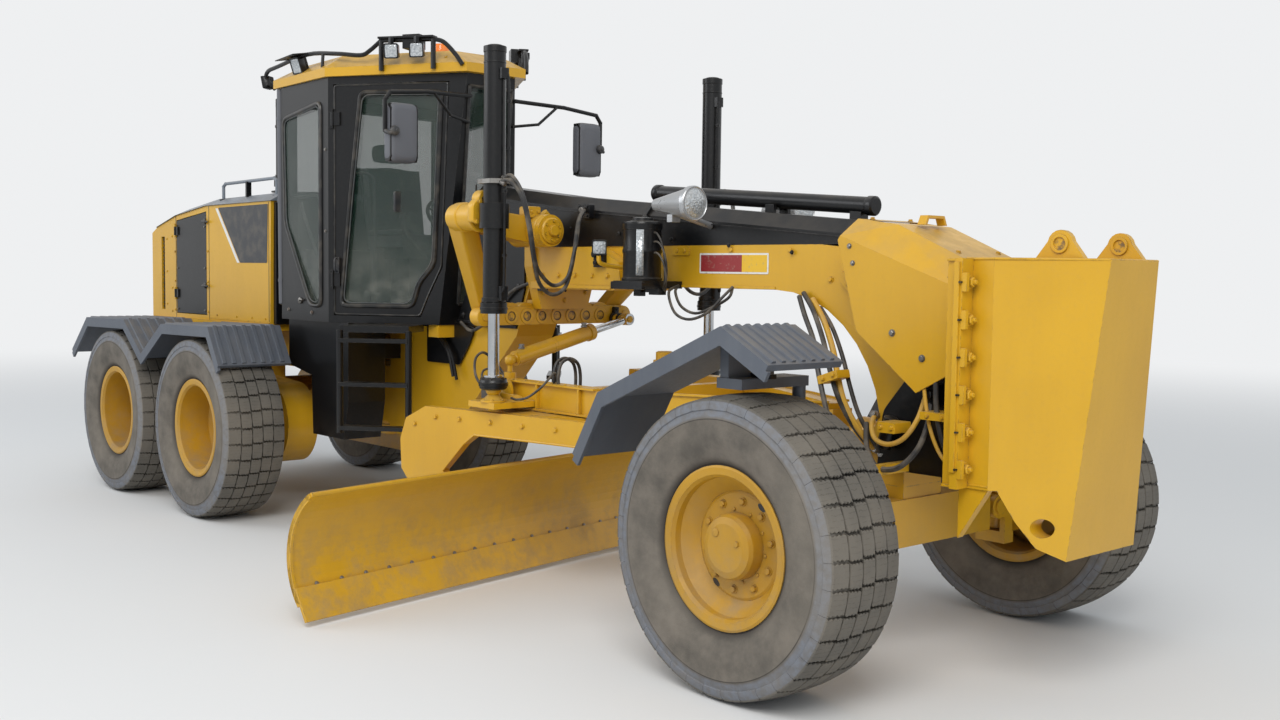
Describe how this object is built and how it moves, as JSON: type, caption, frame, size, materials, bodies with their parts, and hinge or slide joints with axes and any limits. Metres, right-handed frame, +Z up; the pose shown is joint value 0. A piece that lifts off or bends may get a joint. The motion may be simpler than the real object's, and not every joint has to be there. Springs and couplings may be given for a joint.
{
  "type": "motor grader",
  "caption": "Articulated motor grader with a tandem rear axle, tapered cab, high lift linkage, toothed circle, long curved blade and a front push block.",
  "frame": {"origin": "centre of the outline on the ground", "axes": "+X forward, +Y to the machine's left, +Z up"},
  "size_m": [9.06, 4.2388, 3.414],
  "materials": {
    "yellow_paint": "satin, dusty",
    "black_paint": "satin, dusty",
    "slate_plastic": "matte, dusty",
    "grey_paint": "satin",
    "steel": "worn",
    "rod_chrome": "bright",
    "tyre_rubber": "dusty",
    "cab_glass": "tinted",
    "seat_fabric": "woven",
    "cast_iron": "oily"
  },
  "bodies": {
    "rear_body": {"rear_frame": "yellow_paint", "engine_block": "cast_iron", "rear_axle": "yellow_paint", "rear_fenders": "slate_plastic", "hood": "yellow_paint", "hood_top": "grey_paint", "exhaust_stack": "steel"},
    "engine_door_right": {"engine_door_right": "black_paint"},
    "engine_door_left": {"engine_door_left": "black_paint"},
    "front_body": {"front_frame": "yellow_paint", "frame_cover": "black_paint", "nose_cover": "yellow_paint", "push_block": "yellow_paint", "lift_saddle": "yellow_paint", "cab_shell": "black_paint", "cab_roof": "yellow_paint", "cab_glass": "cab_glass", "cab_interior": "seat_fabric", "steps_and_tanks": "black_paint", "cab_rails": "black_paint", "lamps": "steel", "front_axle": "yellow_paint"},
    "cab_door_right": {"cab_door_right": "black_paint", "door_glass_right": "cab_glass"},
    "cab_door_left": {"cab_door_left": "black_paint", "door_glass_left": "cab_glass"},
    "lean_right": {"lean_carrier_right": "yellow_paint", "front_fender_right": "slate_plastic"},
    "lean_left": {"lean_carrier_left": "yellow_paint", "front_fender_left": "slate_plastic"},
    "lean_link": {"lean_bar": "yellow_paint"},
    "knuckle_right": {"knuckle_right": "yellow_paint"},
    "knuckle_left": {"knuckle_left": "yellow_paint"},
    "tie_ball": {"tie_ball": "steel"},
    "tie_rod": {"tie_rod": "steel"},
    "draft_ball": {"draft_ball": "steel"},
    "drawbar": {"drawbar": "yellow_paint"},
    "circle": {"circle": "yellow_paint"},
    "blade_bracket": {"blade_bracket": "yellow_paint"},
    "moldboard": {"moldboard": "yellow_paint"},
    "lift_barrel_right": {"lift_barrel_right": "black_paint"},
    "lift_barrel_left": {"lift_barrel_left": "black_paint"},
    "lift_rod_right": {"lift_rod_right": "rod_chrome"},
    "lift_rod_left": {"lift_rod_left": "rod_chrome"},
    "shift_yoke": {"shift_yoke": "yellow_paint"},
    "shift_barrel": {"shift_barrel": "yellow_paint"},
    "shift_rod": {"shift_rod": "rod_chrome"},
    "front_wheel_right": {"front_tyre_right": "tyre_rubber", "front_rim_right": "yellow_paint"},
    "front_wheel_left": {"front_tyre_left": "tyre_rubber", "front_rim_left": "yellow_paint"},
    "rear_wheel_right": {"rear_tyre_right": "tyre_rubber", "rear_rim_right": "yellow_paint"},
    "rear_wheel_left": {"rear_tyre_left": "tyre_rubber", "rear_rim_left": "yellow_paint"},
    "tail_wheel_right": {"tail_tyre_right": "tyre_rubber", "tail_rim_right": "yellow_paint"},
    "tail_wheel_left": {"tail_tyre_left": "tyre_rubber", "tail_rim_left": "yellow_paint"}
  },
  "joints": [
    {"name": "articulation", "type": "hinge", "parent": "rear_body", "child": "front_body", "pos_m": [-1.39, 0, 0.89], "axis": [0, 0, 1], "range_deg": [-20, 20]},
    {"name": "front_wheel_right_spin", "type": "hinge", "parent": "knuckle_right", "child": "front_wheel_right", "pos_m": [3.383, -1.1, 0.655], "axis": [0, 1, 0], "continuous": true},
    {"name": "front_wheel_left_spin", "type": "hinge", "parent": "knuckle_left", "child": "front_wheel_left", "pos_m": [3.383, 1.1, 0.655], "axis": [0, 1, 0], "continuous": true},
    {"name": "rear_wheel_right_spin", "type": "hinge", "parent": "rear_body", "child": "rear_wheel_right", "pos_m": [-1.9785, -1.1, 0.655], "axis": [0, 1, 0], "continuous": true},
    {"name": "rear_wheel_left_spin", "type": "hinge", "parent": "rear_body", "child": "rear_wheel_left", "pos_m": [-1.9785, 1.1, 0.655], "axis": [0, 1, 0], "continuous": true},
    {"name": "tail_wheel_right_spin", "type": "hinge", "parent": "rear_body", "child": "tail_wheel_right", "pos_m": [-3.5015, -1.1, 0.655], "axis": [0, 1, 0], "continuous": true},
    {"name": "tail_wheel_left_spin", "type": "hinge", "parent": "rear_body", "child": "tail_wheel_left", "pos_m": [-3.5015, 1.1, 0.655], "axis": [0, 1, 0], "continuous": true},
    {"name": "wheel_lean", "type": "hinge", "parent": "front_body", "child": "lean_right", "pos_m": [3.383, -0.65, 0.64], "axis": [1, 0, 0], "range_deg": [-18, 18]},
    {"name": "wheel_lean_left", "type": "hinge", "parent": "front_body", "child": "lean_left", "pos_m": [3.383, 0.65, 0.64], "axis": [1, 0, 0], "range_deg": [-19, 19]},
    {"name": "lean_link_turn", "type": "hinge", "parent": "lean_right", "child": "lean_link", "pos_m": [3.383, -0.65, 0.93], "axis": [1, 0, 0], "range_deg": [-19, 19]},
    {"name": "steer", "type": "hinge", "parent": "lean_right", "child": "knuckle_right", "pos_m": [3.383, -0.8, 0.65], "axis": [0, 0, 1], "range_deg": [-47.5, 47.5]},
    {"name": "steer_left", "type": "hinge", "parent": "lean_left", "child": "knuckle_left", "pos_m": [3.383, 0.8, 0.65], "axis": [0, 0, 1], "range_deg": [-48, 48]},
    {"name": "tie_ball_turn", "type": "hinge", "parent": "knuckle_right", "child": "tie_ball", "pos_m": [3.123, -0.8, 0.462], "axis": [0, 0, 1], "range_deg": [-48, 48]},
    {"name": "tie_rod_turn", "type": "hinge", "parent": "tie_ball", "child": "tie_rod", "pos_m": [3.123, -0.8, 0.462], "axis": [1, 0, 0], "range_deg": [-19, 19]},
    {"name": "centre_shift", "type": "hinge", "parent": "front_body", "child": "draft_ball", "pos_m": [3.12, 0, 1.02], "axis": [0, 0, -1], "range_deg": [-8, 8]},
    {"name": "blade_lift", "type": "hinge", "parent": "draft_ball", "child": "drawbar", "pos_m": [3.12, 0, 1.02], "axis": [0, 1, 0], "range_deg": [-17, 10]},
    {"name": "lift_yoke_right", "type": "hinge", "parent": "front_body", "child": "lift_barrel_right", "pos_m": [1.14, -0.86, 2.13], "axis": [1, 0, 0], "range_deg": [-17.5, 17.5]},
    {"name": "lift_rod_right", "type": "slide", "parent": "lift_barrel_right", "child": "lift_rod_right", "axis": [0, 0, 1], "range_m": [-0.62, 0.38]},
    {"name": "lift_yoke_left", "type": "hinge", "parent": "front_body", "child": "lift_barrel_left", "pos_m": [1.14, 0.86, 2.13], "axis": [1, 0, 0], "range_deg": [-17.5, 17.5]},
    {"name": "lift_rod_left", "type": "slide", "parent": "lift_barrel_left", "child": "lift_rod_left", "axis": [0, 0, 1], "range_m": [-0.62, 0.38]},
    {"name": "shift_swivel", "type": "hinge", "parent": "drawbar", "child": "shift_yoke", "pos_m": [0.905, -0.57, 1.29], "axis": [0, 0, 1], "range_deg": [-8.5, 8.5]},
    {"name": "shift_tilt", "type": "hinge", "parent": "shift_yoke", "child": "shift_barrel", "pos_m": [0.905, -0.57, 1.29], "axis": [0.7973, 0.5978, -0.0831], "range_deg": [-23, 38]},
    {"name": "shift_rod", "type": "slide", "parent": "shift_barrel", "child": "shift_rod", "axis": [-0.1338, 0.969, 0.2076], "range_m": [-0.32, 0.32]},
    {"name": "circle_turn", "type": "hinge", "parent": "drawbar", "child": "circle", "pos_m": [1.22, 0, 0.98], "axis": [0, 0, 1], "range_deg": [-60, 40]},
    {"name": "blade_tip", "type": "hinge", "parent": "circle", "child": "blade_bracket", "pos_m": [0.63404, -0.10332, 0.34], "axis": [-0.1736, 0.9848, 0], "range_deg": [-5, 40]},
    {"name": "blade_side_shift", "type": "slide", "parent": "blade_bracket", "child": "moldboard", "axis": [0.1736, -0.9848, 0], "range_m": [-0.5, 0.5]},
    {"name": "cab_door_right", "type": "hinge", "parent": "front_body", "child": "cab_door_right", "pos_m": [-0.93862, -0.73085, 2.29], "axis": [0, 0, -1], "range_deg": [0, 90]},
    {"name": "cab_door_left", "type": "hinge", "parent": "front_body", "child": "cab_door_left", "pos_m": [-0.93862, 0.73085, 2.29], "axis": [0, 0, 1], "range_deg": [0, 90]},
    {"name": "engine_door_right", "type": "hinge", "parent": "rear_body", "child": "engine_door_right", "pos_m": [-3.84, -0.632, 1.83], "axis": [0, 0, -1], "range_deg": [0, 110]},
    {"name": "engine_door_left", "type": "hinge", "parent": "rear_body", "child": "engine_door_left", "pos_m": [-3.84, 0.632, 1.83], "axis": [0, 0, 1], "range_deg": [0, 110]}
  ],
  "couplings": [
    {"joint": "wheel_lean_left", "follows": "wheel_lean", "ratio": 1},
    {"joint": "lean_link_turn", "follows": "wheel_lean", "ratio": -1},
    {"joint": "steer_left", "follows": "steer", "ratio": 1},
    {"joint": "tie_ball_turn", "follows": "steer", "ratio": -1},
    {"joint": "tie_rod_turn", "follows": "wheel_lean", "ratio": -0.8135},
    {"joint": "lift_yoke_right", "follows": "centre_shift", "ratio": 2.0204},
    {"joint": "lift_rod_right", "follows": "blade_lift", "m_per_rad": 1.97},
    {"joint": "lift_yoke_left", "follows": "centre_shift", "ratio": 2.0204},
    {"joint": "lift_rod_left", "follows": "blade_lift", "m_per_rad": 1.97},
    {"joint": "shift_swivel", "follows": "centre_shift", "ratio": 0.7771},
    {"joint": "shift_tilt", "follows": "blade_lift", "ratio": -2.1979},
    {"joint": "shift_rod", "follows": "centre_shift", "m_per_rad": -2.2147}
  ]
}
